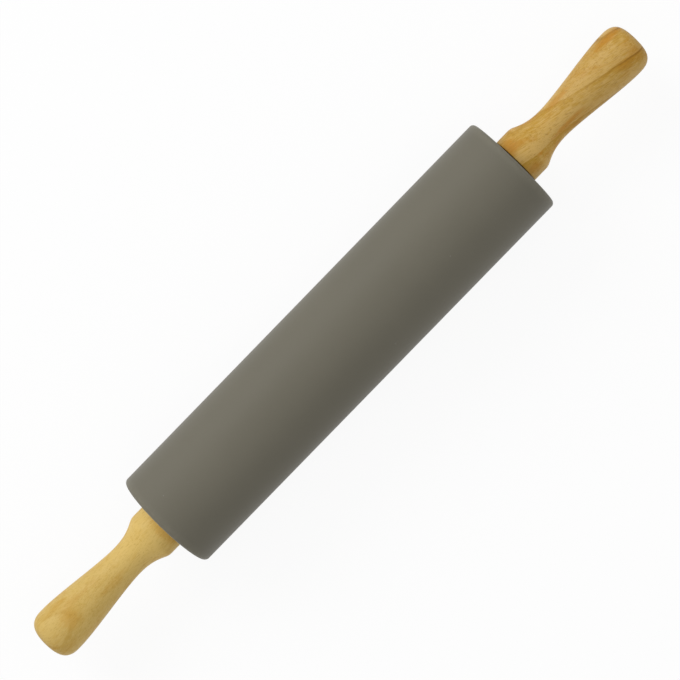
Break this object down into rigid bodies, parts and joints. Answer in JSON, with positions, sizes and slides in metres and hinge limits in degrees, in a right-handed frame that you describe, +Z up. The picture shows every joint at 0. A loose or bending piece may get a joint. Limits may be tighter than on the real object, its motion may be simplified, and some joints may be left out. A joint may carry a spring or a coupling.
{
  "type": "silicone rolling pin",
  "caption": "Straight rolling pin: a silicone-sleeved wood roller that turns on ball bearings between two turned wood handles, for rolling out dough and pastry.",
  "frame": {"origin": "middle of the roller, on its axis", "axes": "+X along the pin towards the right handle, +Z up with the pin lying on a table, +Y across the pin"},
  "size_m": [0.428, 0.058, 0.058],
  "materials": {
    "silicone": "matte moulded silicone, warm grey",
    "handle_wood": "satin clear-coated pale hardwood",
    "core_wood": "bare turned hardwood",
    "cup_nylon": "moulded nylon, warm grey",
    "washer_nylon": "moulded nylon, dark warm grey",
    "cage_nylon": "moulded nylon",
    "bearing_steel": "ground bearing steel",
    "spindle_steel": "zinc-plated turned steel"
  },
  "bodies": {
    "roller": {"silicone_sleeve": "silicone", "roller_core": "core_wood", "left_bearing_cup": "cup_nylon", "left_outer_race": "bearing_steel", "left_front_shield": "bearing_steel", "left_rear_shield": "bearing_steel", "right_bearing_cup": "cup_nylon", "right_outer_race": "bearing_steel", "right_front_shield": "bearing_steel", "right_rear_shield": "bearing_steel"},
    "left_handle_set": {"left_handle": "handle_wood", "left_spindle": "spindle_steel", "left_inner_race": "bearing_steel", "left_spacer_washer": "spindle_steel", "left_lock_nut": "spindle_steel", "left_thrust_washer": "washer_nylon"},
    "left_ball_set": {"left_ball_cage": "cage_nylon", "left_ball_1": "bearing_steel", "left_ball_2": "bearing_steel", "left_ball_3": "bearing_steel", "left_ball_4": "bearing_steel", "left_ball_5": "bearing_steel", "left_ball_6": "bearing_steel", "left_ball_7": "bearing_steel"},
    "right_handle_set": {"right_handle": "handle_wood", "right_spindle": "spindle_steel", "right_inner_race": "bearing_steel", "right_spacer_washer": "spindle_steel", "right_lock_nut": "spindle_steel", "right_thrust_washer": "washer_nylon"},
    "right_ball_set": {"right_ball_cage": "cage_nylon", "right_ball_1": "bearing_steel", "right_ball_2": "bearing_steel", "right_ball_3": "bearing_steel", "right_ball_4": "bearing_steel", "right_ball_5": "bearing_steel", "right_ball_6": "bearing_steel", "right_ball_7": "bearing_steel"}
  },
  "joints": [
    {"name": "left_handle_spin", "type": "hinge", "parent": "roller", "child": "left_handle_set", "pos_m": [-0.127, 0, 0], "axis": [1, 0, 0], "continuous": true},
    {"name": "left_ball_orbit", "type": "hinge", "parent": "roller", "child": "left_ball_set", "pos_m": [-0.127, 0, 0], "axis": [1, 0, 0], "continuous": true},
    {"name": "right_handle_spin", "type": "hinge", "parent": "roller", "child": "right_handle_set", "pos_m": [0.127, 0, 0], "axis": [1, 0, 0], "continuous": true},
    {"name": "right_ball_orbit", "type": "hinge", "parent": "roller", "child": "right_ball_set", "pos_m": [0.127, 0, 0], "axis": [1, 0, 0], "continuous": true}
  ],
  "couplings": [
    {"joint": "left_ball_orbit", "follows": "left_handle_spin", "ratio": 0.3677},
    {"joint": "right_ball_orbit", "follows": "right_handle_spin", "ratio": 0.3677}
  ]
}
